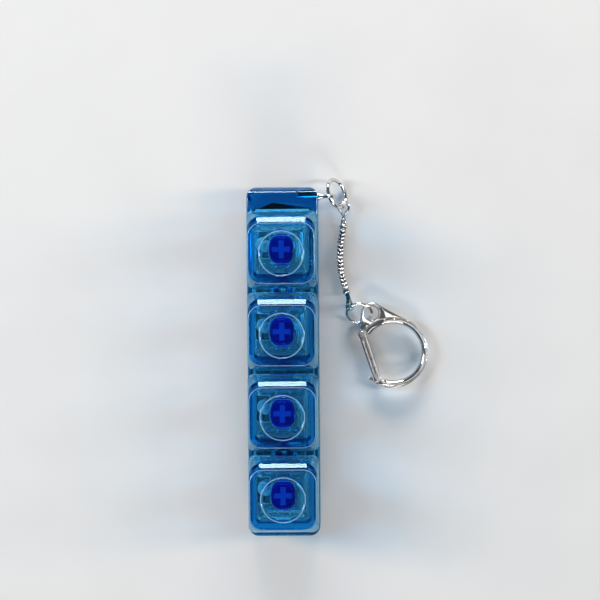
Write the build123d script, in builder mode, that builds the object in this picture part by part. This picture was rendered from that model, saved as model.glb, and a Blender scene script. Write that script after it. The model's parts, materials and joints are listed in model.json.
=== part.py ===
"""Four-key light-up fidget keyboard on a key ring: a narrow case with four sprung
keyboard switches under translucent caps, and a snake chain with a D-shaped snap clasp.

Frame: millimetres, +Z up out of the keys, +Y towards the end that carries the ring,
origin on the underside of the case, under the middle of the row of keys.
"""
import os
from math import cos, radians, sin, sqrt

from build123d import *

os.makedirs("parts", exist_ok=True)

# ---------------------------------------------------------------- driving sizes
KEY_COUNT = 4
PITCH = 19.05                  # standard keyboard key spacing

CASE_WIDTH = 16.8
CASE_HEIGHT = 12.0
CASE_TAIL_Y = -38.9            # plain end
CASE_HEAD_Y = 43.2             # end that carries the ring
CASE_CORNER = 2.4
SPLIT_Z = 4.2                  # where the two halves of the case meet
WALL = 1.2
PLATE = 1.5                    # top of the case, which the switches snap into
FLOOR = 1.6
SEAT_GAP = 0.1                 # between the halves' tongue and groove
TONGUE = 0.75
CAVITY_HEAD_Y = 38.0           # beyond this the case is a solid nose

BOARD_THICK = 1.2
HOUSING_DEPTH = 5.0            # switch body below the plate
BOARD_TOP = CASE_HEIGHT - HOUSING_DEPTH
BOARD_BOTTOM = BOARD_TOP - BOARD_THICK

CELL_RADIUS = 6.25             # 12 mm class coin cell
CELL_HEIGHT = 2.0
CELL_Y = 6.9

CAP_BASE_X = 16.6
CAP_BASE_Y = 18.1
CAP_TOP_X = 15.7
CAP_TOP_Y = 14.2
CAP_SHIFT = -0.9               # the crown sits off the cap's middle, away from the ring
SHOULDER_DROP = 1.05           # broad shoulder below the crown on the side towards the ring
SHOULDER_RUN = 1.4
CAP_HEIGHT = 7.6
CAP_BOTTOM = CASE_HEIGHT + 5.2
CAP_TOP = CAP_BOTTOM + CAP_HEIGHT
CEILING = CAP_TOP - 2.0        # inside of the cap's top wall
DISH_RIM = 5.15                # radius of the round dish's edge
DISH_SPHERE = 24.0             # radius of the sphere that the dish is part of

STEM_X = 5.5
STEM_Y = 6.9
STEM_BLOCK_TOP = CASE_HEIGHT + 7.0
STEM_BLOCK_BOTTOM = CASE_HEIGHT + 1.5
CROSS_SPAN = 4.1
CROSS_ARM = 1.17
HOUSING_TOP = CASE_HEIGHT + 6.6
COLLAR = 1.0
HOUSING_FLOOR = BOARD_TOP + 1.0
SPRING_MEAN = 1.8
SPRING_WIRE = 0.15
LED_X = -4.9                   # lamp beside the slider, from the key's centre
LED_Y = 1.2

CHAIN_Z = 1.7                  # height of the chain's centre line
RIB_COUNT = 4                  # ribs on each length of chain
RIB_PITCH = 0.9125
LENGTH_STEP = RIB_COUNT * RIB_PITCH
RIB_GAP = 0.22
CHAIN_RADIUS = 0.9
BALL = 0.42                    # ball-and-socket links inside the chain
SOCKET = 0.47
SOCKET_DEPTH = 0.30            # from the ball's centre to the socket's mouth
NECK = 0.18
CHAIN_START = Vector(14.3, 33.6, CHAIN_Z)
CHAIN_HEADINGS = (-10, -3, 4, 15)  # degrees from -Y towards +X, one for each length

UPPER_RING = 3.45              # centre-line radius of the ring at the case
UPPER_WIRE = 0.45
LOWER_RING = 2.95              # centre-line radius of the ring at the clasp
LOWER_WIRE = 0.38
LOWER_TILT = 40.0
LOWER_CENTRE = Vector(17.9, 13.2, 2.32)

CLASP_Z = LOWER_CENTRE.Z
CLASP_HALF = 1.0               # half the clasp's thickness
HOOK_CENTRE = (25.7, 3.8)
HOOK_OUTER = 8.5
HOOK_INNER = 6.9
OPENING_CENTRE = (25.9, 3.9)
EYE_CENTRE = (20.9, 13.2)
EYE_OUTER = 2.6
PIVOT = (18.6, 8.1)            # gate hinge
GATE_TIP = (22.1, -2.3)
GATE_WIDTH = 1.8


# ---------------------------------------------------------------- shared helpers
def save(piece, name):
    """Label a finished piece and write it to its own file."""
    piece.part.label = name
    export_step(piece.part, f"parts/{name}.step")


def level(height, y=0.0):
    """Horizontal plane at a height, centred on the row or on one key."""
    return Plane(origin=(0, y, height))


def case_outline(inset):
    """Rounded outline of the case, pulled in all round."""
    length = CASE_HEAD_Y - CASE_TAIL_Y - 2 * inset
    with Locations((0, (CASE_HEAD_Y + CASE_TAIL_Y) / 2)):
        RectangleRounded(CASE_WIDTH - 2 * inset, length, max(CASE_CORNER - inset, 0.5))


def cavity_outline(inset):
    """Outline of the case's hollow, which stops short of the solid nose."""
    low = CASE_TAIL_Y + inset
    high = CAVITY_HEAD_Y - (inset - WALL)
    with Locations((0, (low + high) / 2)):
        RectangleRounded(CASE_WIDTH - 2 * inset, high - low, 1.2)


key_rows = [(KEY_COUNT - 1) / 2 * PITCH - i * PITCH for i in range(KEY_COUNT)]
screw_rows = (PITCH, -PITCH)

# ---------------------------------------------------------------- case, upper half
NOSE_ROUND = 2.6
RIM_ROUND = 0.5
SCREW_BOSS = 2.0
SCREW_CORE = 0.85
PIN_HEIGHT = 6.7               # height of the eye pin in the nose
PIN_Y = 41.0
PIN_SHANK = 0.6
PIN_TIP_X = 3.4

with BuildPart() as case_top:
    with BuildSketch(level(SPLIT_Z)):
        case_outline(0)
    extrude(amount=CASE_HEIGHT - SPLIT_Z)
    fillet(case_top.edges().group_by(Axis.Z)[-1], radius=RIM_ROUND)
    # rounded brow along the top of the nose
    with BuildSketch(Plane.YZ):
        with Locations((CASE_HEAD_Y, CASE_HEIGHT)):
            Rectangle(2 * NOSE_ROUND, 2 * NOSE_ROUND)
        with Locations((CASE_HEAD_Y - NOSE_ROUND, CASE_HEIGHT - NOSE_ROUND)):
            Circle(NOSE_ROUND, mode=Mode.SUBTRACT)
    extrude(amount=CASE_WIDTH, both=True, mode=Mode.SUBTRACT)
    with BuildSketch(level(SPLIT_Z)):
        cavity_outline(WALL)
    extrude(amount=CASE_HEIGHT - PLATE - SPLIT_Z, mode=Mode.SUBTRACT)
    # square holes that the switches snap into
    with BuildSketch(level(CASE_HEIGHT)):
        with Locations(*[(0, y) for y in key_rows]):
            Rectangle(14.0, 14.0)
    extrude(amount=-2 * PLATE, mode=Mode.SUBTRACT)
    # screw bosses between the switches
    with BuildSketch(level(SPLIT_Z + 1.7)):
        with Locations(*[(0, y) for y in screw_rows]):
            Circle(SCREW_BOSS)
    extrude(amount=CASE_HEIGHT - PLATE - SPLIT_Z - 1.7)
    with BuildSketch(level(SPLIT_Z)):
        with Locations(*[(0, y) for y in screw_rows]):
            Circle(SCREW_CORE)
    extrude(amount=6.0, mode=Mode.SUBTRACT)
    # bore in the nose for the eye pin
    with BuildSketch(Plane(origin=(PIN_TIP_X, PIN_Y, PIN_HEIGHT), x_dir=(0, 1, 0), z_dir=(1, 0, 0))):
        Circle(PIN_SHANK)
    extrude(amount=CASE_WIDTH, mode=Mode.SUBTRACT)
save(case_top, "case_top")

# ---------------------------------------------------------------- case, lower half
COVER_THICK = 0.75
COVER_DEPTH = 0.8
COVER_X = 14.0
COVER_LOW_Y = -14.6
COVER_HIGH_Y = 16.3
COVER_SCREW_Y = 14.9
BAY_X = 12.8
BAY_Y = 26.8
HEAD_RADIUS = 1.7
HEAD_DEPTH = 0.9

with BuildPart() as case_base:
    with BuildSketch(level(0)):
        case_outline(0)
    extrude(amount=SPLIT_Z)
    with BuildSketch(level(SPLIT_Z)):
        cavity_outline(WALL + SEAT_GAP)
    extrude(amount=BOARD_BOTTOM - SPLIT_Z)
    with BuildSketch(level(FLOOR)):
        cavity_outline(WALL + SEAT_GAP + TONGUE)
    extrude(amount=BOARD_BOTTOM, mode=Mode.SUBTRACT)
    chamfer(case_base.edges().group_by(Axis.Z)[0], length=0.5)
    # posts that meet the upper bosses, and the battery cover's screw post
    with BuildSketch(level(FLOOR)):
        with Locations(*[(0, y) for y in screw_rows]):
            Circle(SCREW_BOSS)
    extrude(amount=SPLIT_Z + 1.65 - FLOOR)
    with BuildSketch(level(FLOOR)):
        with Locations((0, COVER_SCREW_Y)):
            Circle(1.4)
    extrude(amount=2.2)
    # battery opening with a step for its cover
    with BuildSketch(level(0)):
        Rectangle(BAY_X, BAY_Y)
    extrude(amount=FLOOR, mode=Mode.SUBTRACT)
    with BuildSketch(level(0)):
        with Locations((0, (COVER_LOW_Y + COVER_HIGH_Y) / 2)):
            Rectangle(COVER_X, COVER_HIGH_Y - COVER_LOW_Y)
    extrude(amount=COVER_DEPTH, mode=Mode.SUBTRACT)
    with BuildSketch(level(0)):
        with Locations(*[(0, y) for y in screw_rows]):
            Circle(1.05)
        with Locations((0, COVER_SCREW_Y)):
            Circle(0.78)
    extrude(amount=SPLIT_Z + 2, mode=Mode.SUBTRACT)
    with BuildSketch(level(0)):
        with Locations(*[(0, y) for y in screw_rows]):
            Circle(HEAD_RADIUS + 0.1)
    extrude(amount=HEAD_DEPTH + 0.1, mode=Mode.SUBTRACT)
save(case_base, "case_base")

with BuildPart() as battery_cover:
    with BuildSketch(level(0)):
        with Locations((0, (COVER_LOW_Y + COVER_HIGH_Y) / 2)):
            RectangleRounded(COVER_X - 0.2, COVER_HIGH_Y - COVER_LOW_Y - 0.2, 0.4)
        with Locations((0, COVER_SCREW_Y)):
            Circle(0.8, mode=Mode.SUBTRACT)
    extrude(amount=COVER_THICK)
    # finger groove at the far end from the screw
    with BuildSketch(level(0)):
        with Locations((0, COVER_LOW_Y + 2.4)):
            SlotOverall(7.0, 1.2)
    extrude(amount=0.35, mode=Mode.SUBTRACT)
    # seat for the screw's head
    with BuildSketch(level(0)):
        with Locations((0, COVER_SCREW_Y)):
            Circle(1.3)
    extrude(amount=0.45, mode=Mode.SUBTRACT)
save(battery_cover, "battery_cover")


def pan_screw(plane, head_radius, head_height, shank_radius, length):
    """A crosshead screw: head on the plane, shank along the plane's normal."""
    with BuildPart() as screw:
        with BuildSketch(plane):
            Circle(head_radius)
        extrude(amount=head_height)
        with BuildSketch(plane.offset(head_height)):
            Circle(shank_radius)
        extrude(amount=length)
        with BuildSketch(plane):
            Rectangle(1.3 * head_radius, 0.3 * head_radius)
            Rectangle(0.3 * head_radius, 1.3 * head_radius)
        extrude(amount=0.5 * head_height, mode=Mode.SUBTRACT)
    return screw


cover_screw = pan_screw(level(0.05, COVER_SCREW_Y), 1.2, 0.38, 0.72, 2.9)
save(cover_screw, "cover_screw")

case_screw_pair = [pan_screw(level(0.1, screw_y), HEAD_RADIUS, 0.85, 0.82, 8.2) for screw_y in screw_rows]
with BuildPart() as case_screws:
    add([screw.part for screw in case_screw_pair])
save(case_screws, "case_screws")

# ---------------------------------------------------------------- power and board
STRIP_WIDTH = 3.6
STRIP_THICK = 0.2
BRIDGE_END = 12.6              # half length of the strip over the cells
CELL_BOTTOM = 1.05
CELL_TOP = CELL_BOTTOM + CELL_HEIGHT

for cell_index, cell_y in enumerate((CELL_Y, -CELL_Y), start=1):
    with BuildPart() as cell:
        with BuildSketch(level(CELL_BOTTOM, cell_y)):
            Circle(CELL_RADIUS)
        extrude(amount=CELL_HEIGHT)
        fillet(cell.edges().group_by(Axis.Z)[-1], radius=0.25)
        with BuildSketch(level(CELL_BOTTOM, cell_y)):
            Circle(CELL_RADIUS)
            Circle(CELL_RADIUS - 1.1, mode=Mode.SUBTRACT)
        extrude(amount=0.2, mode=Mode.SUBTRACT)
    save(cell, f"coin_cell_{cell_index}")

with BuildPart() as lower_contact:
    with BuildSketch(level(CELL_BOTTOM - STRIP_THICK)):
        Rectangle(STRIP_WIDTH, 2 * CELL_Y + 3.0)
        with Locations((-4.4, -11.6)):
            Rectangle(1.8, 2.8)
        with Locations((-2.6, -9.3)):
            Rectangle(5.4, 2.6)
    extrude(amount=STRIP_THICK)
    with BuildSketch(level(CELL_BOTTOM - STRIP_THICK)):
        with Locations((-4.4, -12.9)):
            Rectangle(1.8, STRIP_THICK)
    extrude(amount=BOARD_BOTTOM - CELL_BOTTOM + STRIP_THICK)
save(lower_contact, "battery_contact_lower")

with BuildPart() as upper_contact:
    with BuildSketch(level(CELL_TOP)):
        Rectangle(STRIP_WIDTH, 2 * BRIDGE_END)
    extrude(amount=STRIP_THICK)
    with BuildSketch(level(CELL_TOP)):
        with Locations((0, STRIP_THICK / 2 - BRIDGE_END)):
            Rectangle(STRIP_WIDTH, STRIP_THICK)
    extrude(amount=BOARD_BOTTOM - CELL_TOP)
save(upper_contact, "battery_contact_upper")

PEG_RADIUS = 1.98
PIN_A = (2.54, 3.81)           # places of a switch's two pins, from its centre
PIN_B = (5.08, -2.54)
LED_LEG = 1.27

with BuildPart() as circuit_board:
    with BuildSketch(level(BOARD_BOTTOM)):
        cavity_outline(WALL + 0.3)
        with Locations(*[(0, y) for y in screw_rows]):
            Circle(SCREW_BOSS + 0.15, mode=Mode.SUBTRACT)
        with Locations(*[(0, y) for y in key_rows]):
            Circle(PEG_RADIUS + 0.06, mode=Mode.SUBTRACT)
        for row_y in key_rows:
            with Locations((PIN_A[0], row_y + PIN_A[1]), (PIN_B[0], row_y + PIN_B[1])):
                Circle(0.75, mode=Mode.SUBTRACT)
            with Locations((LED_X, row_y + LED_Y + LED_LEG), (LED_X, row_y + LED_Y - LED_LEG)):
                Circle(0.45, mode=Mode.SUBTRACT)
    extrude(amount=BOARD_THICK)
save(circuit_board, "circuit_board")

# ---------------------------------------------------------------- one key's pieces
CROSS_GAP = 0.02
STEM_GAP = 0.08
POLE_RADIUS = 0.9
TUBE_BORE = 0.97
TUBE_OUTER = 1.5
SPRING_SEAT = STEM_BLOCK_TOP - 2.0
RECESS = 2.1
UPPER_BASE_X = 13.6
UPPER_BASE_Y = 14.6
UPPER_TOP_X = 12.0
UPPER_TOP_Y = 11.0
UPPER_SKIN = 0.9
LED_RADIUS = 1.5


def cross(span, arm):
    """The plus-shaped section that joins a cap to its stem."""
    Rectangle(span, arm)
    Rectangle(arm, span)


def make_keycap(y, name):
    """Hollow cap with a round dish in its crown and a socket for the stem's cross."""
    dish_depth = DISH_SPHERE - sqrt(DISH_SPHERE**2 - DISH_RIM**2)
    share = 1 - SHOULDER_DROP / CAP_HEIGHT
    crown_low = CAP_SHIFT - CAP_TOP_Y / 2
    crown_high = CAP_SHIFT + CAP_TOP_Y / 2
    low = -CAP_BASE_Y / 2 + (crown_low + CAP_BASE_Y / 2) * share
    high = crown_high + SHOULDER_RUN
    with BuildPart() as keycap:
        with BuildSketch(level(CAP_BOTTOM, y)):
            RectangleRounded(CAP_BASE_X, CAP_BASE_Y, 1.5)
        with BuildSketch(level(CAP_TOP - SHOULDER_DROP, y + (low + high) / 2)):
            RectangleRounded(CAP_BASE_X + (CAP_TOP_X - CAP_BASE_X) * share, high - low, 2.9)
        with BuildSketch(level(CAP_TOP, y + CAP_SHIFT)):
            RectangleRounded(CAP_TOP_X, CAP_TOP_Y, 3.2)
        loft(ruled=True)
        fillet(keycap.faces().sort_by(Axis.Z)[-1].edges(), radius=0.4)
        with BuildSketch(level(CAP_BOTTOM, y)):
            RectangleRounded(CAP_BASE_X - 2.4, CAP_BASE_Y - 2.6, 1.0)
        with BuildSketch(level(CEILING, y)):
            RectangleRounded(CAP_TOP_X - 3.0, CAP_TOP_Y - 2.7, 1.6)
        loft(mode=Mode.SUBTRACT)
        with BuildSketch(level(STEM_BLOCK_TOP + 0.05, y)):
            Circle(2.75)
            cross(CROSS_SPAN, CROSS_ARM)
        extrude(amount=CEILING - STEM_BLOCK_TOP)
        with BuildSketch(level(STEM_BLOCK_TOP, y)):
            cross(CROSS_SPAN + 2 * CROSS_GAP, CROSS_ARM + 2 * CROSS_GAP)
        extrude(amount=CEILING - STEM_BLOCK_TOP, mode=Mode.SUBTRACT)
        with Locations((0, y + CAP_SHIFT, CAP_TOP + DISH_SPHERE - dish_depth)):
            Sphere(DISH_SPHERE, mode=Mode.SUBTRACT)
    save(keycap, name)


def make_stem(y, name):
    """Slider: cross on top, block with chamfered corners, hollow for the spring."""
    with BuildPart() as stem:
        with BuildSketch(level(STEM_BLOCK_BOTTOM, y)) as block:
            Rectangle(STEM_X, STEM_Y)
            chamfer(block.vertices(), length=1.0)
        extrude(amount=STEM_BLOCK_TOP - STEM_BLOCK_BOTTOM)
        with BuildSketch(level(STEM_BLOCK_BOTTOM, y)):
            Circle(RECESS)
        extrude(amount=SPRING_SEAT - STEM_BLOCK_BOTTOM, mode=Mode.SUBTRACT)
        with BuildSketch(level(HOUSING_FLOOR + 1.0, y)):
            Circle(POLE_RADIUS)
        extrude(amount=SPRING_SEAT - HOUSING_FLOOR - 1.0)
        with BuildSketch(level(STEM_BLOCK_TOP, y)):
            cross(CROSS_SPAN, CROSS_ARM)
        extrude(amount=CEILING - STEM_BLOCK_TOP - 0.1)
        # retaining shoulders that stop the slider against the upper housing
        with BuildSketch(level(STEM_BLOCK_BOTTOM, y)):
            with Locations((0, STEM_Y / 2 + 0.4), (0, -STEM_Y / 2 - 0.4)):
                Rectangle(2.6, 1.0)
        extrude(amount=HOUSING_TOP - UPPER_SKIN - STEM_BLOCK_BOTTOM - 0.1)
    save(stem, name)


def make_spring(y, name):
    """Compression spring between the lower housing's floor and the slider."""
    length = SPRING_SEAT - HOUSING_FLOOR - 2 * SPRING_WIRE - 0.04
    start = (0, y, HOUSING_FLOOR + SPRING_WIRE + 0.02)
    with BuildPart() as spring:
        with BuildLine() as coil:
            Helix(pitch=length / 9, height=length, radius=SPRING_MEAN, center=start)
        with BuildSketch(Plane(origin=coil.line @ 0, z_dir=coil.line % 0)):
            Circle(SPRING_WIRE)
        sweep()
    save(spring, name)


def make_switch_base(y, name):
    """Lower housing: open box with a collar, a guide tube and a locating peg."""
    with BuildPart() as switch_base:
        with BuildSketch(level(BOARD_TOP, y)):
            Rectangle(13.9, 13.9)
        extrude(amount=HOUSING_DEPTH)
        with BuildSketch(level(CASE_HEIGHT, y)):
            Rectangle(15.6, 15.6)
        extrude(amount=COLLAR)
        with BuildSketch(level(HOUSING_FLOOR, y)):
            Rectangle(11.6, 11.6)
        extrude(amount=HOUSING_DEPTH + COLLAR, mode=Mode.SUBTRACT)
        with BuildSketch(level(HOUSING_FLOOR, y)):
            Circle(TUBE_OUTER)
        extrude(amount=1.5)
        with BuildSketch(level(BOARD_TOP, y)):
            Circle(PEG_RADIUS)
        extrude(amount=-3.3)
        with BuildSketch(level(BOARD_TOP - 2.8, y)):
            Circle(TUBE_BORE)
        extrude(amount=8.0, mode=Mode.SUBTRACT)
        # slots for the two pins and the lamp's legs
        with BuildSketch(level(BOARD_TOP, y)):
            with Locations(PIN_A, PIN_B):
                Rectangle(0.6, 1.3)
            with Locations((LED_X, LED_Y)):
                Rectangle(0.9, 3.4)
        extrude(amount=1.0, mode=Mode.SUBTRACT)
    save(switch_base, name)


def make_switch_top(y, name):
    """Upper housing: thin tapered cover, open for the slider and the lamp."""
    with BuildPart() as switch_top:
        with BuildSketch(level(CASE_HEIGHT + COLLAR, y)):
            RectangleRounded(UPPER_BASE_X, UPPER_BASE_Y, 0.6)
        with BuildSketch(level(HOUSING_TOP, y)):
            RectangleRounded(UPPER_TOP_X, UPPER_TOP_Y, 0.6)
        loft()
        with BuildSketch(level(CASE_HEIGHT + COLLAR, y)):
            RectangleRounded(UPPER_BASE_X - 2 * UPPER_SKIN, UPPER_BASE_Y - 2 * UPPER_SKIN, 0.4)
        with BuildSketch(level(HOUSING_TOP - UPPER_SKIN, y)):
            RectangleRounded(UPPER_TOP_X - 2 * UPPER_SKIN, UPPER_TOP_Y - 2 * UPPER_SKIN, 0.4)
        loft(mode=Mode.SUBTRACT)
        with BuildSketch(level(HOUSING_TOP, y)) as opening:
            Rectangle(STEM_X + 2 * STEM_GAP, STEM_Y + 2 * STEM_GAP)
            chamfer(opening.vertices(), length=0.9)
        extrude(amount=-2 * UPPER_SKIN, mode=Mode.SUBTRACT)
        with BuildSketch(level(HOUSING_TOP, y)):
            with Locations((LED_X - 0.1, LED_Y - 0.2)):
                Rectangle(3.7, 6.4)
        extrude(amount=COLLAR + CASE_HEIGHT - HOUSING_TOP, mode=Mode.SUBTRACT)
        # moulded ribs that show as four short marks beside the slider
        with BuildSketch(level(HOUSING_TOP, y)):
            with GridLocations(3.3, 9.3, 2, 2):
                Rectangle(0.6, 1.2)
        extrude(amount=0.15)
    save(switch_top, name)


def make_contacts(y, name):
    """The fixed contact and the sprung leaf, each with its pin through the board."""
    with BuildPart() as contacts:
        with BuildSketch(level(HOUSING_FLOOR - 3.6, y)):
            with Locations(PIN_A, PIN_B):
                Rectangle(0.25, 1.0)
        extrude(amount=3.9)
        with BuildSketch(level(HOUSING_FLOOR + 0.3, y)):
            with Locations((PIN_B[0], PIN_B[1] + 0.6)):
                Rectangle(0.25, 4.4)
        extrude(amount=3.6)
        with BuildSketch(level(HOUSING_FLOOR + 0.3, y)):
            with Locations(((PIN_A[0] + 4.0) / 2, PIN_A[1] + 0.37)):
                Rectangle(4.0 - PIN_A[0] + 0.25, 0.25)
            with Locations((4.0, PIN_A[1] - 1.2)):
                Rectangle(0.25, 3.4)
        extrude(amount=3.2)
    save(contacts, name)


def make_led(y, name):
    """Round 3 mm lamp with its flange and two legs."""
    flange_bottom = HOUSING_TOP - 5.2
    with BuildPart() as led:
        with BuildSketch(level(flange_bottom, y)):
            with Locations((LED_X, LED_Y)):
                Circle(1.7)
        extrude(amount=0.8)
        with BuildSketch(level(flange_bottom + 0.8, y)):
            with Locations((LED_X, LED_Y)):
                Circle(LED_RADIUS)
        extrude(amount=2.8)
        with Locations((LED_X, y + LED_Y, flange_bottom + 3.6)):
            Sphere(LED_RADIUS)
        with BuildSketch(level(BOARD_BOTTOM - 0.8, y)):
            with Locations((LED_X, LED_Y + LED_LEG), (LED_X, LED_Y - LED_LEG)):
                Rectangle(0.45, 0.45)
        extrude(amount=flange_bottom - BOARD_BOTTOM + 0.8)
    save(led, name)


for key_index, key_y in enumerate(key_rows, start=1):
    make_keycap(key_y, f"keycap_{key_index}")
    make_stem(key_y, f"stem_{key_index}")
    make_spring(key_y, f"spring_{key_index}")
    make_switch_base(key_y, f"switch_base_{key_index}")
    make_switch_top(key_y, f"switch_top_{key_index}")
    make_contacts(key_y, f"switch_contacts_{key_index}")
    make_led(key_y, f"led_{key_index}")

# ---------------------------------------------------------------- eye pin and upper ring
EYE_PIN_X = 10.9
EYE_PIN_RING = 1.3
EYE_PIN_WIRE = 0.4
RING_LEAN = 58.0               # how steeply the upper ring hangs from the pin
RING_TURN = 20.0               # how far its swing axis is turned from the row
CHAIN_GRIP = 8.0               # angle on the ring where the chain's eye hangs

eye_pin_centre = Vector(EYE_PIN_X, PIN_Y, PIN_HEIGHT)
ring_along = Vector(sin(radians(RING_TURN)), -cos(radians(RING_TURN)), 0)
ring_down = Vector(
    cos(radians(RING_LEAN)) * cos(radians(RING_TURN)),
    cos(radians(RING_LEAN)) * sin(radians(RING_TURN)),
    -sin(radians(RING_LEAN)),
)
ring_hook = eye_pin_centre + Vector(0.2, 0, -0.2)
upper_centre = ring_hook + ring_down * UPPER_RING
upper_normal = ring_along.cross(ring_down)

with BuildPart() as eye_pin:
    with BuildSketch(Plane(origin=(PIN_TIP_X + 0.2, PIN_Y, PIN_HEIGHT), x_dir=(0, 1, 0), z_dir=(1, 0, 0))):
        Circle(PIN_SHANK)
    extrude(amount=EYE_PIN_X - EYE_PIN_RING - PIN_TIP_X - 0.2)
    with BuildSketch(Plane(origin=(CASE_WIDTH / 2, PIN_Y, PIN_HEIGHT), x_dir=(0, 1, 0), z_dir=(1, 0, 0))):
        Circle(1.0)
    extrude(amount=0.35)
    with BuildSketch(Plane(origin=eye_pin_centre + Vector(EYE_PIN_RING, 0, 0), z_dir=(0, 0, 1))):
        Circle(EYE_PIN_WIRE)
    revolve(axis=Axis(eye_pin_centre, (0, 1, 0)))
save(eye_pin, "eye_pin")


def split_ring(centre, along, normal, mean_radius, wire_radius, gap_turn):
    """A jump ring with its narrow split turned away from what it holds."""
    flat = Plane(origin=centre, x_dir=along, z_dir=normal)
    rim = centre + flat.x_dir * mean_radius
    gap = flat.rotated((0, 0, gap_turn))
    with BuildPart() as ring:
        with BuildSketch(Plane(origin=rim, x_dir=flat.x_dir, z_dir=flat.y_dir)):
            Circle(wire_radius)
        revolve(axis=Axis(centre, normal))
        with BuildSketch(Plane(origin=centre, x_dir=gap.x_dir, z_dir=normal)):
            with Locations((mean_radius, 0)):
                Rectangle(3 * wire_radius, 0.12)
        extrude(amount=2 * wire_radius, both=True, mode=Mode.SUBTRACT)
    return ring


jump_ring_upper = split_ring(upper_centre, ring_along, upper_normal, UPPER_RING, UPPER_WIRE, 150)
save(jump_ring_upper, "jump_ring_upper")

# ---------------------------------------------------------------- snake chain
EYE_MEAN = 1.22                # eye at the chain's upper end
EYE_WIRE = 0.3

grip = radians(CHAIN_GRIP)
chain_hold = upper_centre + (ring_along * cos(grip) + ring_down * sin(grip)) * UPPER_RING
chain_eye = chain_hold + Vector(0.2, -0.1, 0)


def heading_vector(angle):
    """Unit vector in the chain's plane, turned from -Y towards +X."""
    return Vector(sin(radians(angle)), -cos(radians(angle)), 0)


def across(direction):
    """Horizontal unit vector square to a direction."""
    return Vector(-direction.Y, direction.X, 0).normalized()


def axial_plane(origin, direction):
    """Plane with its x along a direction and its y square to it, for half profiles."""
    return Plane(origin=origin, x_dir=direction, z_dir=direction.cross(across(direction)))


def ball_points(start_face):
    """Half profile of a ball on its neck, ending at the face that carries the neck."""
    neck_start = sqrt(BALL**2 - NECK**2)
    ThreePointArc((-BALL, 0), (0, BALL), (neck_start, NECK))
    Line((neck_start, NECK), (start_face, NECK))


def socket_points(centre, face):
    """Half profile of the hollow that captures the next ball, from rim to axis."""
    mouth = sqrt(SOCKET**2 - SOCKET_DEPTH**2)
    ThreePointArc((face, mouth), (centre, SOCKET), (centre - SOCKET, 0))


def ribbed_outline(start, end):
    """Outer half profile of a length of chain: rounded ribs with narrow grooves."""
    rib = (end - start - (RIB_COUNT - 1) * RIB_GAP) / RIB_COUNT
    low = CHAIN_RADIUS - 0.32
    mid = CHAIN_RADIUS - 0.08
    points = [(start, NECK)]
    for i in range(RIB_COUNT):
        left = start + i * (rib + RIB_GAP)
        points += [(left, low), (left + 0.1, mid), (left + 0.22, CHAIN_RADIUS)]
        points += [(left + rib - 0.22, CHAIN_RADIUS), (left + rib - 0.1, mid), (left + rib, low)]
    mouth = sqrt(SOCKET**2 - SOCKET_DEPTH**2)
    points.append((end, mouth))
    Polyline(*points)


def make_chain_length(origin, direction, name):
    """One length of chain: ball at its upper end, socket at its lower end."""
    start = SOCKET_DEPTH + RIB_GAP
    end = LENGTH_STEP + SOCKET_DEPTH
    with BuildPart() as length:
        with BuildSketch(axial_plane(origin, direction)):
            with BuildLine():
                ball_points(start)
                ribbed_outline(start, end)
                socket_points(LENGTH_STEP, end)
                Line((LENGTH_STEP - SOCKET, 0), (-BALL, 0))
            make_face()
        revolve(axis=Axis(origin, direction))
    save(length, name)


upper_direction = (CHAIN_START - chain_eye).normalized()
upper_length = (CHAIN_START - chain_eye).length
with BuildPart() as chain_end_upper:
    eye_rim = chain_eye + across(upper_direction) * EYE_MEAN
    with BuildSketch(Plane(origin=eye_rim, x_dir=across(upper_direction), z_dir=upper_direction)):
        Circle(EYE_WIRE)
    revolve(axis=Axis(chain_eye, upper_direction.cross(across(upper_direction))))
    with BuildSketch(axial_plane(chain_eye, upper_direction)):
        with BuildLine():
            end_face = upper_length + SOCKET_DEPTH
            mouth_radius = sqrt(SOCKET**2 - SOCKET_DEPTH**2)
            Polyline(
                (EYE_MEAN, 0), (EYE_MEAN, 0.32), (EYE_MEAN + 1.1, 0.42), (end_face - 1.1, 0.72),
                (end_face - 0.9, 0.95), (end_face - 0.15, 0.95), (end_face, 0.8), (end_face, mouth_radius),
            )
            socket_points(upper_length, end_face)
            Line((upper_length - SOCKET, 0), (EYE_MEAN, 0))
        make_face()
    revolve(axis=Axis(chain_eye, upper_direction))
save(chain_end_upper, "chain_end_upper")

chain_joint = CHAIN_START
for length_index, angle in enumerate(CHAIN_HEADINGS, start=1):
    chain_heading = heading_vector(angle)
    make_chain_length(chain_joint, chain_heading, f"chain_length_{length_index}")
    chain_joint = chain_joint + chain_heading * LENGTH_STEP

# ---------------------------------------------------------------- lower end and lower ring
STRIP_TURN = 137.0             # angle on the lower ring where the strip's loop hangs
LOOP_INNER = 0.62
LOOP_OUTER = 0.98
LOOP_WIDTH = 1.1
tilt = radians(LOWER_TILT)
turn = radians(STRIP_TURN)
lower_north = Vector(0, cos(tilt), sin(tilt))
lower_normal = Vector(0, -sin(tilt), cos(tilt))
loop_centre = LOWER_CENTRE + Vector(LOWER_RING * cos(turn), 0, 0) + lower_north * (LOWER_RING * sin(turn))
loop_tangent = Vector(-sin(turn), 0, 0) + lower_north * cos(turn)
strip_direction = (loop_centre - chain_joint).normalized()
strip_length = (loop_centre - chain_joint).length
loop_axis = (loop_tangent - strip_direction * loop_tangent.dot(strip_direction)).normalized()

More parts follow.
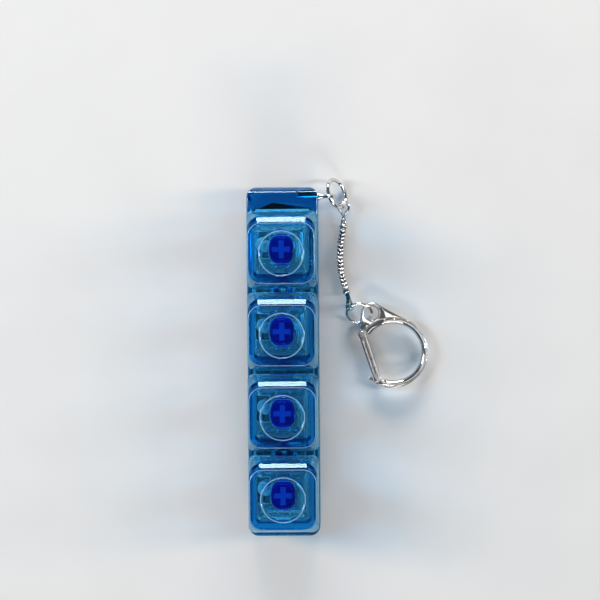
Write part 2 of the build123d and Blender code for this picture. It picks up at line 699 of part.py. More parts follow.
with BuildPart() as chain_end_lower:
    with BuildSketch(axial_plane(chain_joint, strip_direction)):
        with BuildLine():
            cuff = SOCKET_DEPTH + RIB_GAP
            ball_points(cuff)
            Polyline((cuff, NECK), (cuff, 0.62), (cuff + 0.15, 0.92), (cuff + 1.0, 0.92), (cuff + 1.2, 0.5),
                     (cuff + 1.2, 0), (-BALL, 0))
        make_face()
    revolve(axis=Axis(chain_joint, strip_direction))
    strip_frame = Plane(origin=loop_centre, x_dir=strip_direction, z_dir=loop_axis)
    with BuildSketch(strip_frame):
        Circle(LOOP_OUTER)
        with Locations((-(strip_length - 1.2) / 2, LOOP_OUTER - 0.6)):
            Rectangle(strip_length - 1.2, 0.5)
        Circle(LOOP_INNER, mode=Mode.SUBTRACT)
    extrude(amount=LOOP_WIDTH / 2, both=True)
save(chain_end_lower, "chain_end_lower")

jump_ring_lower = split_ring(LOWER_CENTRE, Vector(1, 0, 0), lower_normal, LOWER_RING, LOWER_WIRE, 215)
save(jump_ring_lower, "jump_ring_lower")

# ---------------------------------------------------------------- snap clasp
EYE_HALF = 0.7                 # half thickness of the clasp's eye
LUG_TOP = 0.12
LUG_BOTTOM = 0.5
LUG_RADIUS = 1.0
PIN_RADIUS = 0.38
GATE_HALF = 0.87
SHEET = 0.25
GATE_COIL = 0.56               # mean radius of the gate's torsion spring
GATE_WIRE = 0.06
GATE_CLEAR = 0.12
GATE_OPENING = 30              # degrees that the gate swings inwards
gate_room = GATE_WIDTH + 2 * GATE_CLEAR

gate_run = Vector(GATE_TIP[0] - PIVOT[0], GATE_TIP[1] - PIVOT[1], 0)
gate_length = gate_run.length
gate_direction = gate_run.normalized()
gate_turn = -Vector(1, 0, 0).get_angle(gate_direction)
gate_middle = ((PIVOT[0] + GATE_TIP[0]) / 2, (PIVOT[1] + GATE_TIP[1]) / 2)
clasp_plane = Plane(origin=(0, 0, CLASP_Z))
gate_plane = Plane(origin=(PIVOT[0], PIVOT[1], CLASP_Z), x_dir=gate_direction, z_dir=(0, 0, 1))

with BuildPart() as clasp_body:
    with BuildSketch(clasp_plane):
        with Locations(EYE_CENTRE):
            Circle(EYE_OUTER)
        with Locations(HOOK_CENTRE):
            Circle(HOOK_OUTER)
        make_hull()
        with Locations(OPENING_CENTRE):
            Circle(HOOK_INNER, mode=Mode.SUBTRACT)
        # space left of the gate, from the pivot down to the hook's nose
        with BuildLine():
            Polyline(
                (14, 7.0), (18.9, 6.9), (19.9, 7.6), (21.2, 8.5), (23.0, 5.0),
                (22.3, -0.9), (19.0, -1.5), (14, -1.5), close=True,
            )
        make_face(mode=Mode.SUBTRACT)
    extrude(amount=CLASP_HALF, both=True)
    # thinner eye, so that the ring passes over and under it
    for side in (1, -1):
        with BuildSketch(clasp_plane.offset(side * EYE_HALF)):
            with Locations(EYE_CENTRE):
                Circle(EYE_OUTER + 0.15)
        extrude(amount=side * CLASP_HALF, mode=Mode.SUBTRACT)
    with BuildSketch(clasp_plane):
        with Locations(Location(EYE_CENTRE, 20)):
            Ellipse(1.85, 1.6)
    extrude(amount=CLASP_HALF, both=True, mode=Mode.SUBTRACT)
    # lug between the gate's two cheeks, thinner on the spring's side
    for side, face in ((1, LUG_TOP), (-1, LUG_BOTTOM)):
        with BuildSketch(clasp_plane):
            with Locations(PIVOT):
                Circle(LUG_RADIUS)
        extrude(amount=side * face)
    with BuildSketch(clasp_plane):
        with Locations(PIVOT):
            Circle(PIN_RADIUS)
    extrude(amount=CLASP_HALF, both=True, mode=Mode.SUBTRACT)
    # room for the gate: its cheeks beside the lug, and its whole depth beyond the lug
    for swing in range(0, GATE_OPENING + 1, 6):
        swept = gate_plane.rotated((0, 0, swing))
        for side, face in ((1, LUG_TOP), (-1, LUG_BOTTOM)):
            with BuildSketch(swept.offset(side * face)):
                with Locations((gate_length / 2, 0)):
                    SlotOverall(gate_length + gate_room, gate_room)
            extrude(amount=side * CLASP_HALF, mode=Mode.SUBTRACT)
        with BuildSketch(swept):
            with Locations(((gate_length + gate_room / 2) / 2, 0)):
                Rectangle(gate_length + gate_room / 2, gate_room)
            Circle(LUG_RADIUS, mode=Mode.SUBTRACT)
        extrude(amount=CLASP_HALF, both=True, mode=Mode.SUBTRACT)
save(clasp_body, "clasp_body")

with BuildPart() as clasp_gate:
    with BuildSketch(clasp_plane):
        with Locations(Location(gate_middle, gate_turn)):
            SlotOverall(gate_length + GATE_WIDTH, GATE_WIDTH)
    extrude(amount=GATE_HALF, both=True)
    # folded sheet: hollow between its cheeks, open towards the outside and at the pivot
    with BuildSketch(gate_plane):
        with Locations(((gate_length + GATE_WIDTH) / 2 - 0.9 - SHEET, -SHEET)):
            Rectangle(gate_length + GATE_WIDTH, GATE_WIDTH)
        with Locations((0, 0)):
            Rectangle(2 * LUG_RADIUS + 0.5, 2 * GATE_WIDTH)
    extrude(amount=GATE_HALF - SHEET, both=True, mode=Mode.SUBTRACT)
    with BuildSketch(clasp_plane):
        with Locations(PIVOT):
            Circle(PIN_RADIUS + 0.04)
    extrude(amount=CLASP_HALF, both=True, mode=Mode.SUBTRACT)
save(clasp_gate, "clasp_gate")

with BuildPart() as gate_spring:
    with BuildLine(gate_plane.offset(LUG_TOP + 0.12).rotated((0, 0, 90))) as gate_coil:
        Helix(pitch=0.16, height=0.3, radius=GATE_COIL)
    coil_start = gate_coil.line @ 0
    coil_heading = gate_coil.line % 0
    with BuildSketch(Plane(origin=coil_start, z_dir=coil_heading)):
        Circle(GATE_WIRE)
    sweep()
    with BuildSketch(Plane(origin=coil_start, z_dir=-coil_heading)):
        Circle(GATE_WIRE)
    extrude(amount=4.5)
save(gate_spring, "gate_spring")

with BuildPart() as gate_pin:
    with BuildSketch(clasp_plane):
        with Locations(PIVOT):
            Circle(PIN_RADIUS)
    extrude(amount=GATE_HALF + 0.1, both=True)
    for side in (1, -1):
        with BuildSketch(clasp_plane.offset(side * (GATE_HALF + 0.03))):
            with Locations(PIVOT):
                Circle(0.62)
        extrude(amount=side * 0.14)
save(gate_pin, "gate_pin")
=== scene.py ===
"""Looks of the four-key fidget keyboard with its snake chain and snap clasp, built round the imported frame.

Shapes are written in millimetres in the frame's own axes, and make_piece turns them into metres.
"""

import json
import math

import bmesh
import bpy
import numpy as np
from mathutils import Matrix, Vector

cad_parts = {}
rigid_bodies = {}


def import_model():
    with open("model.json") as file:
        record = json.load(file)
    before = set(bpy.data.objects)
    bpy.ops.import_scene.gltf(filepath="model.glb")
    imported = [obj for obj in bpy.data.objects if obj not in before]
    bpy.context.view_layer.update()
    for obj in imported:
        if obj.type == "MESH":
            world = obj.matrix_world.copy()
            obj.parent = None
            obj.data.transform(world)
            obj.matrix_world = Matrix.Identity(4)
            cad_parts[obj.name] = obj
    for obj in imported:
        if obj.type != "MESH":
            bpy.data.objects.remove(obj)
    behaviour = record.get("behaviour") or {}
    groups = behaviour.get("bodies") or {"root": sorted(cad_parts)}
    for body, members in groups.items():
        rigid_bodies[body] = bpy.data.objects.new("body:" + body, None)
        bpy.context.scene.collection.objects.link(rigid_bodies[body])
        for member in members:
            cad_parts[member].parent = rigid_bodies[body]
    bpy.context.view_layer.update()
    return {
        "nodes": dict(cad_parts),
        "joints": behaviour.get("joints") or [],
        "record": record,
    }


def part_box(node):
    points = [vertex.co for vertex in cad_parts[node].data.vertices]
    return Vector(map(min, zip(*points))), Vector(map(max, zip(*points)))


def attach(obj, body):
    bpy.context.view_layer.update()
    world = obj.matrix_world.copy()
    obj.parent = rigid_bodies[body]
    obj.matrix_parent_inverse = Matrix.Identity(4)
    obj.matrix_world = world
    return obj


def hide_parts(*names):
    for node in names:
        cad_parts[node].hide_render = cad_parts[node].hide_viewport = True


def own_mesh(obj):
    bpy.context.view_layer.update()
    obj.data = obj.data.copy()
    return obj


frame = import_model()

MM = 0.001
KEYS = (1, 2, 3, 4)
UP = Vector((0, 0, 1))


# ---------------------------------------------------------------- places read from the frame
def box_mm(node):
    """Lowest and highest corner of a CAD node, in millimetres."""
    low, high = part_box(node)
    return low / MM, high / MM


def pivot(joint_name):
    """A hinge's point in millimetres."""
    joint = next(j for j in frame["joints"] if j["name"] == joint_name)
    return Vector(joint["pos_m"]) / MM


# ---------------------------------------------------------------- mesh tools
def make_piece(name, points, faces, material, body, stands_for=(), crease=35):
    """A mesh piece from points in millimetres, with its normals out, riding on a body."""
    mesh = bpy.data.meshes.new(name)
    mesh.from_pydata([Vector(p) * MM for p in points], [], faces)
    work = bmesh.new()
    work.from_mesh(mesh)
    bmesh.ops.recalc_face_normals(work, faces=work.faces)
    work.to_mesh(mesh)
    work.free()
    for polygon in mesh.polygons:
        polygon.use_smooth = True
    mesh.set_sharp_from_angle(angle=math.radians(crease))
    mesh.materials.append(material)
    piece = bpy.data.objects.new(name, mesh)
    bpy.context.scene.collection.objects.link(piece)
    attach(piece, body)
    if stands_for:
        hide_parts(*stands_for)
    return piece


def skin(rings, closed=False):
    """Quads between rings of equally many points, with both ends capped unless it closes on itself."""
    count = len(rings[0])
    points = [p for ring in rings for p in ring]
    faces = []
    for i in range(len(rings) - (0 if closed else 1)):
        here = i * count
        there = (i + 1) % len(rings) * count
        for j in range(count):
            k = (j + 1) % count
            faces.append((here + j, here + k, there + k, there + j))
    if not closed:
        faces.append(tuple(reversed(range(count))))
        faces.append(tuple(range(len(points) - count, len(points))))
    return points, faces


def joined(*shapes):
    """Several point and face lists as one."""
    points, faces = [], []
    for some_points, some_faces in shapes:
        start = len(points)
        points += list(some_points)
        faces += [tuple(start + i for i in face) for face in some_faces]
    return points, faces


def sweep(path, section, start_side=None, closed=False):
    """Rings of a section carried along a path without twisting. The section is a list of (side, up) pairs,
    or a function of the share of the path that returns one."""
    count = len(path)
    rings = []
    side = start_side
    for i, here in enumerate(path):
        before = path[i - 1] if i or closed else here
        after = path[(i + 1) % count] if i + 1 < count or closed else here
        heading = (after - before).normalized()
        if side is None:
            side = heading.orthogonal()
        side = (side - heading * side.dot(heading)).normalized()
        up = heading.cross(side)
        outline = section(i / (count - 1)) if callable(section) else section
        rings.append([here + side * a + up * b for a, b in outline])
    return skin(rings, closed)


def round_section(radius, steps=16):
    """A circle as (side, up) pairs."""
    turns = [2 * math.pi * i / steps for i in range(steps)]
    return [(radius * math.cos(t), radius * math.sin(t)) for t in turns]


def wire(path, radius, steps=16, round_ends=True):
    """A round wire along a path, with domed ends."""
    if not round_ends:
        return sweep(path, round_section(radius, steps))
    first = (path[0] - path[1]).normalized()
    last = (path[-1] - path[-2]).normalized()
    domes = [(0.35, 0.93), (0.7, 0.7), (0.92, 0.35)]
    head = [path[0] + first * radius * reach for reach, _ in reversed(domes)]
    tail = [path[-1] + last * radius * reach for reach, _ in domes]
    scales = [s for _, s in reversed(domes)] + [1.0] * len(path) + [s for _, s in domes]
    full = head + list(path) + tail

    def section(share):
        index = round(share * (len(full) - 1))
        return round_section(radius * scales[index], steps)

    return sweep(full, section)


def revolve(profile, origin, axis, steps=48):
    """A closed solid of revolution. The profile is (along the axis, radius) pairs from end to end."""
    axis = axis.normalized()
    side = axis.orthogonal().normalized()
    other = axis.cross(side)
    rings = []
    for along, radius in profile:
        ring = []
        for i in range(steps):
            turn = 2 * math.pi * i / steps
            out = side * math.cos(turn) + other * math.sin(turn)
            ring.append(origin + axis * along + out * max(radius, 0.01))
        rings.append(ring)
    return skin(rings)


def surface_net(field, low, high, cell):
    """Quads on the zero surface of a distance field that is negative inside, drawn onto the surface."""
    axes = [np.arange(a, b + cell, cell) for a, b in zip(low, high)]
    grid = np.stack(np.meshgrid(*axes, indexing="ij"), -1)
    value = field(grid)
    inside = value < 0
    shape = tuple(n - 1 for n in value.shape)

    def corner(array, offset):
        i, j, k = offset
        return array[i:i + shape[0], j:j + shape[1], k:k + shape[2]]

    total = np.zeros(shape + (3,))
    hits = np.zeros(shape)
    offsets = [(i, j, k) for i in (0, 1) for j in (0, 1) for k in (0, 1)]
    for start in offsets:
        for axis in range(3):
            if start[axis]:
                continue
            end = tuple(v + (n == axis) for n, v in enumerate(start))
            a, b = corner(value, start), corner(value, end)
            crossing = (a < 0) != (b < 0)
            share = np.where(crossing, a / np.where(crossing, a - b, 1), 0)
            place = np.zeros(shape + (3,)) + np.array(start, float)
            place[..., axis] += share
            total += place * crossing[..., None]
            hits += crossing
    used = hits > 0
    number = np.full(shape, -1)
    number[used] = np.arange(used.sum())
    base = np.stack(np.nonzero(used), -1)
    points = np.array(low) + cell * (base + total[used] / hits[used][:, None])
    for _ in range(3):
        step = cell * 0.05
        slope = np.zeros_like(points)
        for axis in range(3):
            shift = np.zeros(3)
            shift[axis] = step
            slope[:, axis] = (field(points + shift) - field(points - shift)) / (2 * step)
        length = np.maximum((slope**2).sum(1, keepdims=True), 0.05)
        move = field(points)[:, None] * slope / length
        points = points - np.clip(move, -cell / 2, cell / 2)
    faces = []
    for axis in range(3):
        u, v = (axis + 1) % 3, (axis + 2) % 3
        here = [slice(1, n - 1) for n in value.shape]
        here[axis] = slice(0, value.shape[axis] - 1)
        there = list(here)
        there[axis] = slice(1, value.shape[axis])
        a, b = inside[tuple(here)], inside[tuple(there)]
        for outward, mask in ((True, a & ~b), (False, b & ~a)):
            index = np.stack(np.nonzero(mask), -1) + [s.start for s in here]
            quads = []
            for du, dv in ((0, 0), (1, 0), (1, 1), (0, 1)):
                at = index.copy()
                at[:, u] -= du
                at[:, v] -= dv
                quads.append(number[at[:, 0], at[:, 1], at[:, 2]])
            quads = np.stack(quads, -1)
            faces += (quads if outward else quads[:, ::-1]).tolist()
    return points.tolist(), faces


# ---------------------------------------------------------------- node tools
def node(tree, kind, inputs=None, **settings):
    """A shader node with its settings, whose inputs are given as values or as sockets to link."""
    made = tree.nodes.new(kind)
    for key, value in settings.items():
        setattr(made, key, value)
    for key, value in (inputs or {}).items():
        if isinstance(value, bpy.types.NodeSocket):
            tree.links.new(value, made.inputs[key])
        else:
            made.inputs[key].default_value = value
    return made


def calc(tree, operation, *values):
    """A maths node's result."""
    return node(tree, "ShaderNodeMath", dict(enumerate(values)), operation=operation).outputs[0]


def new_material(name):
    """An empty node material, and its tree and output."""
    material = bpy.data.materials.new(name)
    material.use_nodes = True
    tree = material.node_tree
    tree.nodes.clear()
    return material, tree, node(tree, "ShaderNodeOutputMaterial")


def place(tree, stretch=(1000, 1000, 1000)):
    """Position on the piece in millimetres, stretched if the pattern has a direction."""
    coordinates = node(tree, "ShaderNodeTexCoord").outputs["Object"]
    return node(tree, "ShaderNodeMapping", {"Vector": coordinates, "Scale": stretch}).outputs[0]


def noise(tree, scale, detail=3.0, stretch=(1000, 1000, 1000)):
    """A noise texture's value, with the scale in waves per millimetre."""
    where = place(tree, stretch)
    made = node(tree, "ShaderNodeTexNoise", {"Vector": where, "Scale": scale, "Detail": detail})
    return made.outputs["Fac"]


def between(tree, value, low, high):
    """A 0 to 1 value spread from low to high."""
    inputs = {"Value": value, "From Min": 0.3, "From Max": 0.7, "To Min": low, "To Max": high}
    return node(tree, "ShaderNodeMapRange", inputs).outputs[0]


def two_tone(tree, value, first, second):
    """Colour that runs from first to second with a 0 to 1 value."""
    ramp = node(tree, "ShaderNodeValToRGB", {"Fac": value})
    ramp.color_ramp.elements[0].position = 0.35
    ramp.color_ramp.elements[0].color = (*first, 1)
    ramp.color_ramp.elements[1].position = 0.65
    ramp.color_ramp.elements[1].color = (*second, 1)
    return ramp.outputs[0]


def bump(tree, height, strength, depth_mm):
    """Normal bent by a height, whose depth is in millimetres."""
    inputs = {"Height": height, "Strength": strength, "Distance": depth_mm * MM}
    return node(tree, "ShaderNodeBump", inputs).outputs[0]


# ---------------------------------------------------------------- materials
DISH_RIM = 5.2                 # radius of the line round each cap's dish
CROSS_RISE = 3.6               # height of the stem's cross
# pale colour of the painted highlight lines on the caps
HIGHLIGHT_LINE_TINT = (0.50, 0.84, 1.0, 1)
PALE_CLEAR = (0.93, 0.98, 1.0, 1)
EDGE_HIGHLIGHT_REACH = 0.3                # reach of the painted highlight along the edges of clear parts
DISH_LINE = 0.065              # half widths of the painted highlight lines on each cap
CROWN_LINE = 0.07
CROWN_CORNER = 3.05
LINE_DEPTH = 0.35              # the painted highlight lines stay this close to the cap's top
CROWN_SHIFT = -0.9             # the crown sits off its cap's middle, away from the ring
CROWN_HALF = 7.1               # half the crown's length along the row


def clear_material(name, tint, depth, roughness=0.03, stain=(1, 1, 1), milk=0.0, edges=0.0, painted_highlight_lines=None):
    """Clear moulded plastic that darkens to its tint over a depth in millimetres, with a stain on its
    surface, a little milk in it and a painted highlight on its edges. Light for the pieces inside passes
    straight through. Painted_highlight_lines gives its pale matt lines, which are painted highlights."""
    material, tree, output = new_material(name)
    ripple = noise(tree, 0.35, 2.0)
    haze = between(tree, noise(tree, 1.7, 4.0), roughness * 0.6, roughness * 1.6)
    normal = bump(tree, ripple, 0.06, 0.25)
    glass_inputs = {"Color": (*stain, 1), "Roughness": haze, "IOR": 1.49, "Normal": normal}
    glass = node(tree, "ShaderNodeBsdfGlass", glass_inputs)
    passing = node(tree, "ShaderNodeBsdfTransparent", {"Color": (0.97, 0.98, 1, 1)})
    path = node(tree, "ShaderNodeLightPath").outputs
    straight = calc(tree, "MAXIMUM", path["Is Shadow Ray"], path["Is Diffuse Ray"])
    surface = glass.outputs[0]
    # pale matt: painted highlight lines on the caps, or milk in the other clear parts
    if painted_highlight_lines or milk:
        pale = HIGHLIGHT_LINE_TINT if painted_highlight_lines else PALE_CLEAR
        matt = node(tree, "ShaderNodeBsdfPrincipled", {"Base Color": pale, "Roughness": 0.5})
        if painted_highlight_lines:
            share = painted_highlight_lines(tree)
        else:
            share = between(tree, noise(tree, 0.8, 3.0), milk * 0.7, milk * 1.3)
        # painted highlight on the edges: pale matt where the rounded normal bends away from the plain one
        if edges:
            rounded = node(tree, "ShaderNodeBevel", {"Radius": EDGE_HIGHLIGHT_REACH * MM}, samples=6).outputs[0]
            plain = node(tree, "ShaderNodeNewGeometry").outputs["Normal"]
            match = node(tree, "ShaderNodeVectorMath", {0: rounded, 1: plain}, operation="DOT_PRODUCT")
            bend = calc(tree, "SUBTRACT", 1.0, match.outputs["Value"])
            edge = calc(tree, "MINIMUM", calc(tree, "MULTIPLY", bend, 6.0), edges)
            share = calc(tree, "MAXIMUM", share, edge)
        surface = node(tree, "ShaderNodeMixShader", {0: share, 1: surface, 2: matt.outputs[0]}).outputs[0]
    mixed = node(tree, "ShaderNodeMixShader", {0: straight, 1: surface, 2: passing.outputs[0]})
    tree.links.new(mixed.outputs[0], output.inputs["Surface"])
    absorb = node(tree, "ShaderNodeVolumeAbsorption", {"Color": (*tint, 1), "Density": 1 / (depth * MM)})
    tree.links.new(absorb.outputs[0], output.inputs["Volume"])
    return material


def cap_highlight_lines(tree):
    """How much painted highlight each cap has, as pale matt: along the fine line round its dish and along
    its crown's edge, else 0.
    """
    low, high = box_mm("keycap_1")
    pitch = (low - box_mm("keycap_2")[0]).y
    axes = node(tree, "ShaderNodeSeparateXYZ", {0: place(tree)}).outputs
    crown_middle = (low.y + high.y) / 2 + CROWN_SHIFT
    from_middle = calc(tree, "SUBTRACT", axes["Y"], crown_middle)
    along = calc(tree, "WRAP", from_middle, pitch / 2, -pitch / 2)
    flat = node(tree, "ShaderNodeCombineXYZ", {"X": axes["X"], "Y": along})
    reach = node(tree, "ShaderNodeVectorMath", {0: flat.outputs[0]}, operation="LENGTH").outputs["Value"]
    # painted highlight lines: a pale matt ring over the dish's low bead, and a line along the crown's
    # rounded edge
    ring = calc(tree, "MULTIPLY", calc(tree, "COMPARE", reach, DISH_RIM, DISH_LINE), 0.75)
    half_x, radius = (high.x - low.x) / 2 - 0.58, CROWN_CORNER
    over_x = calc(tree, "SUBTRACT", calc(tree, "ABSOLUTE", axes["X"]), half_x - radius)
    over_y = calc(tree, "SUBTRACT", calc(tree, "ABSOLUTE", along), CROWN_HALF - 0.12 - radius)
    past = {"X": calc(tree, "MAXIMUM", over_x, 0), "Y": calc(tree, "MAXIMUM", over_y, 0)}
    corner = node(tree, "ShaderNodeCombineXYZ", past)
    length = node(tree, "ShaderNodeVectorMath", {0: corner.outputs[0]}, operation="LENGTH")
    flat_part = calc(tree, "MINIMUM", calc(tree, "MAXIMUM", over_x, over_y), 0)
    distance = calc(tree, "ADD", length.outputs["Value"], flat_part)
    edge = calc(tree, "COMPARE", distance, radius, CROWN_LINE)
    lines = calc(tree, "MAXIMUM", ring, calc(tree, "MULTIPLY", edge, 0.55))
    return calc(tree, "MULTIPLY", lines, calc(tree, "GREATER_THAN", axes["Z"], high.z - LINE_DEPTH))


def stem_material():
    """Deep blue stem whose cross, nearest the light, is a lighter blue: painted light on its top."""
    material, tree, output = new_material("stem_plastic")
    height = node(tree, "ShaderNodeSeparateXYZ", {0: place(tree)}).outputs["Z"]
    top = box_mm("stem_1")[1].z
    steps = {"Value": height, "From Min": top - CROSS_RISE, "From Max": top - CROSS_RISE + 0.6}
    share = node(tree, "ShaderNodeMapRange", steps, interpolation_type="SMOOTHSTEP").outputs[0]
    deep = two_tone(tree, noise(tree, 0.6, 3.0), (0.0, 0.006, 0.36), (0.0, 0.015, 0.46))
    mix = node(tree, "ShaderNodeMix", {"Factor": share, "A": deep}, data_type="RGBA")
    # painted light: the cross at the stem's top is coloured a lighter blue
    mix.inputs["B"].default_value = (0.0, 0.075, 0.58, 1)
    inputs = {
        "Base Color": mix.outputs["Result"],
        "Roughness": between(tree, noise(tree, 2.5, 4.0), 0.25, 0.42),
        "Normal": bump(tree, noise(tree, 6.0, 3.0), 0.15, 0.02),
    }
    shader = node(tree, "ShaderNodeBsdfPrincipled", inputs)
    tree.links.new(shader.outputs[0], output.inputs["Surface"])
    return material


def metal_material(name, dark, light, roughness, scratch=(1000, 1000, 1000), depth=0.004, edge_shade=0.0):
    """Plated or drawn metal: colour and polish vary, fine scratches bend the reflections, and surfaces seen
    end on can get painted shade, their colour darkened towards near black."""
    material, tree, output = new_material(name)
    colour = two_tone(tree, noise(tree, 0.9, 4.0), dark, light)
    # painted shade: the colour goes near black where the surface is seen end on, standing in for dark
    # reflections
    if edge_shade:
        facing = node(tree, "ShaderNodeLayerWeight", {"Blend": 0.5}).outputs["Facing"]
        share = calc(tree, "MULTIPLY", calc(tree, "POWER", facing, 1.6), edge_shade)
        shaded = node(tree, "ShaderNodeMix", {"Factor": share, "A": colour}, data_type="RGBA")
        shaded.inputs["B"].default_value = (0.02, 0.02, 0.022, 1)
        colour = shaded.outputs["Result"]
    rough = between(tree, noise(tree, 3.0, 5.0), roughness * 0.6, roughness * 1.7)
    wave = noise(tree, 0.8, 2.0)
    lines = noise(tree, 9.0, 4.0, scratch)
    height = calc(tree, "ADD", calc(tree, "MULTIPLY", wave, 2.0), lines)
    inputs = {
        "Base Color": colour,
        "Metallic": 1.0,
        "Roughness": rough,
        "Normal": bump(tree, height, 0.35, depth),
    }
    shader = node(tree, "ShaderNodeBsdfPrincipled", inputs)
    tree.links.new(shader.outputs[0], output.inputs["Surface"])
    return material


def board_material():
    """Circuit board: solder resist over tracks that show as paler, raised lines."""
    material, tree, output = new_material("board_laminate")
    inputs = {
        "Vector": place(tree),
        "Scale": 0.55,
        "Mortar Size": 0.09,
        "Mortar Smooth": 0.15,
        "Brick Width": 1.7,
        "Row Height": 0.62,
    }
    tracks = node(tree, "ShaderNodeTexBrick", inputs).outputs["Fac"]
    base = two_tone(tree, noise(tree, 1.2, 3.0), (0.003, 0.022, 0.035), (0.006, 0.036, 0.052))
    mix = node(tree, "ShaderNodeMix", {"Factor": tracks, "A": base}, data_type="RGBA")
    mix.inputs["B"].default_value = (0.03, 0.11, 0.15, 1)
    shader_inputs = {
        "Base Color": mix.outputs["Result"],
        "Roughness": between(tree, noise(tree, 4.0, 3.0), 0.28, 0.45),
        "Normal": bump(tree, tracks, 0.5, 0.04),
    }
    shader = node(tree, "ShaderNodeBsdfPrincipled", shader_inputs)
    tree.links.new(shader.outputs[0], output.inputs["Surface"])
    return material


def floor_material():
    """Plain pale floor."""
    material, tree, output = new_material("floor_pale")
    colour = two_tone(tree, noise(tree, 0.05, 2.0), (0.80, 0.80, 0.80), (0.82, 0.82, 0.82))
    shader = node(tree, "ShaderNodeBsdfPrincipled", {"Base Color": colour, "Roughness": 0.7})
    tree.links.new(shader.outputs[0], output.inputs["Surface"])
    return material


CAP_TINT = (0.0, 0.71, 0.885)
CASE_TINT = (0.0, 0.72, 0.875)
HOUSING_TINT = (0.52, 0.86, 0.95)
LENS_TINT = (0.90, 0.96, 0.98)
cap_plastic = clear_material("cap_plastic", CAP_TINT, 2.0, stain=(0.56, 0.88, 1.0), painted_highlight_lines=cap_highlight_lines)
case_plastic = clear_material("case_plastic", CASE_TINT, 2.8, 0.05, stain=(0.62, 0.90, 0.99))
# the housing and the lamp lens get painted highlights on their edges
housing_plastic = clear_material("housing_plastic", HOUSING_TINT, 12.0, 0.05, milk=0.05, edges=0.9)
led_lens = clear_material("led_lens", LENS_TINT, 14.0, 0.04, milk=0.45, edges=1.0)
stem_plastic = stem_material()
plated_metal = metal_material(
    "plated_metal", (0.88, 0.85, 0.81), (0.96, 0.94, 0.91), 0.08, edge_shade=0.8
)
gate_metal = metal_material(
    "gate_metal", (0.60, 0.57, 0.54), (0.74, 0.71, 0.68), 0.08, (400, 4000, 4000), edge_shade=0.6
)
spring_steel = metal_material("spring_steel", (0.55, 0.55, 0.56), (0.70, 0.70, 0.70), 0.2)
screw_steel = metal_material("screw_steel", (0.50, 0.51, 0.53), (0.66, 0.66, 0.68), 0.28)
cell_steel = metal_material("cell_steel", (0.60, 0.60, 0.60), (0.74, 0.74, 0.73), 0.3, (6000, 500, 500))
contact_metal = metal_material("contact_metal", (0.80, 0.70, 0.52), (0.90, 0.82, 0.66), 0.3)
# near-black metal for the chain's core: painted shade in the gaps between the links
painted_shade_core_metal = metal_material("painted_shade_core_metal", (0.035, 0.03, 0.028), (0.07, 0.06, 0.055), 0.35)
board_laminate = board_material()

CAD_MATERIALS = {
    "cap_plastic": cap_plastic,
    "case_plastic": case_plastic,
    "housing_plastic": housing_plastic,
    "led_lens": led_lens,
    "stem_plastic": stem_plastic,
    "plated_metal": plated_metal,
    "spring_steel": spring_steel,
    "screw_steel": screw_steel,
    "cell_steel": cell_steel,
    "contact_metal": contact_metal,
    "board_laminate": board_laminate,
}
for part in frame["record"]["subparts"]:
    cad_mesh = frame["nodes"][part["node"]].data
    cad_mesh.materials.clear()
    cad_mesh.materials.append(CAD_MATERIALS[part["material_slot"]])

# ---------------------------------------------------------------- clear shells
HAIRLINE = 0.01


def clear_shell(node_name, slot):
    """A clear part in its CAD node's shape, drawn in by a hairline: where two clear parts touch, light has
    to leave one before it enters the next."""
    mesh = frame["nodes"][node_name].data.copy()
    mesh.name = f"{node_name}_clear"
    work = bmesh.new()
    work.from_mesh(mesh)
    bmesh.ops.remove_doubles(work, verts=work.verts, dist=0.0001 * MM)
    work.normal_update()
    for vertex in work.verts:
        vertex.co -= vertex.normal * HAIRLINE * MM
    work.to_mesh(mesh)
    work.free()
    for polygon in mesh.polygons:
        polygon.use_smooth = True
    mesh.set_sharp_from_angle(angle=math.radians(30))
    mesh.materials.clear()
    mesh.materials.append(CAD_MATERIALS[slot])
    piece = bpy.data.objects.new(mesh.name, mesh)
    bpy.context.scene.collection.objects.link(piece)
    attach(piece, "case")
    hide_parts(node_name)


for part in frame["record"]["subparts"]:
    if part["material_slot"] in ("case_plastic", "housing_plastic"):
        clear_shell(part["node"], part["material_slot"])

# ---------------------------------------------------------------- keycaps
CROSS_HALF = 2.1
CROSS_ARM_HALF = 0.62
CAP_ROOF = 2.0                 # thickness of the cap's top wall
CAP_WALL = 1.25
DISH_SPHERE = 24.0
RIM_BEAD = 0.10
BOSS_RADIUS = 2.75
SHOULDER_DROP = 1.05           # the cap's end towards the ring has a broad shoulder under its crown
SHOULDER_RUN = 1.4


def quarter_turns():
    """Angles of one quarter of a ring, which include the corners of the socket's plus shape."""
    corner = math.degrees(math.atan2(CROSS_ARM_HALF, CROSS_HALF))
    stops = ((1.5, corner, 4), (corner, 45, 6), (45, 90 - corner, 6), (90 - corner, 88.5, 4))
    turns = [1.5]
    for start, end, count in stops:
        turns += [start + (end - start) * i / (count - 1) for i in range(1, count)]
    return [math.radians(t) for t in turns]


def rounded_ring(half_x, half_y, radius, height, centre):
    """A rounded rectangle as a ring of points, or a circle when all three sizes are equal."""
    ring = []
    for quarter, (sx, sy) in enumerate(((1, 1), (-1, 1), (-1, -1), (1, -1))):
        for turn in quarter_turns():
            angle = turn + quarter * math.pi / 2
            x = sx * (half_x - radius) + radius * math.cos(angle)
            y = sy * (half_y - radius) + radius * math.sin(angle)
            ring.append(Vector((centre.x + x, centre.y + y, height)))
    return ring


def circle_ring(radius, height, centre):
    return rounded_ring(radius, radius, radius, height, centre)


def cross_ring(height, centre):
    """The plus-shaped socket's outline."""
    ring = []
    for quarter in range(4):
        for turn in quarter_turns():
            angle = turn + quarter * math.pi / 2
            c, s = abs(math.cos(angle)), abs(math.sin(angle))
            reach = max(
                min(CROSS_HALF / c, CROSS_ARM_HALF / s),
                min(CROSS_HALF / s, CROSS_ARM_HALF / c),
            )
            offset = Vector((math.cos(angle), math.sin(angle), 0)) * reach
            ring.append(Vector((centre.x, centre.y, height)) + offset)
    return ring


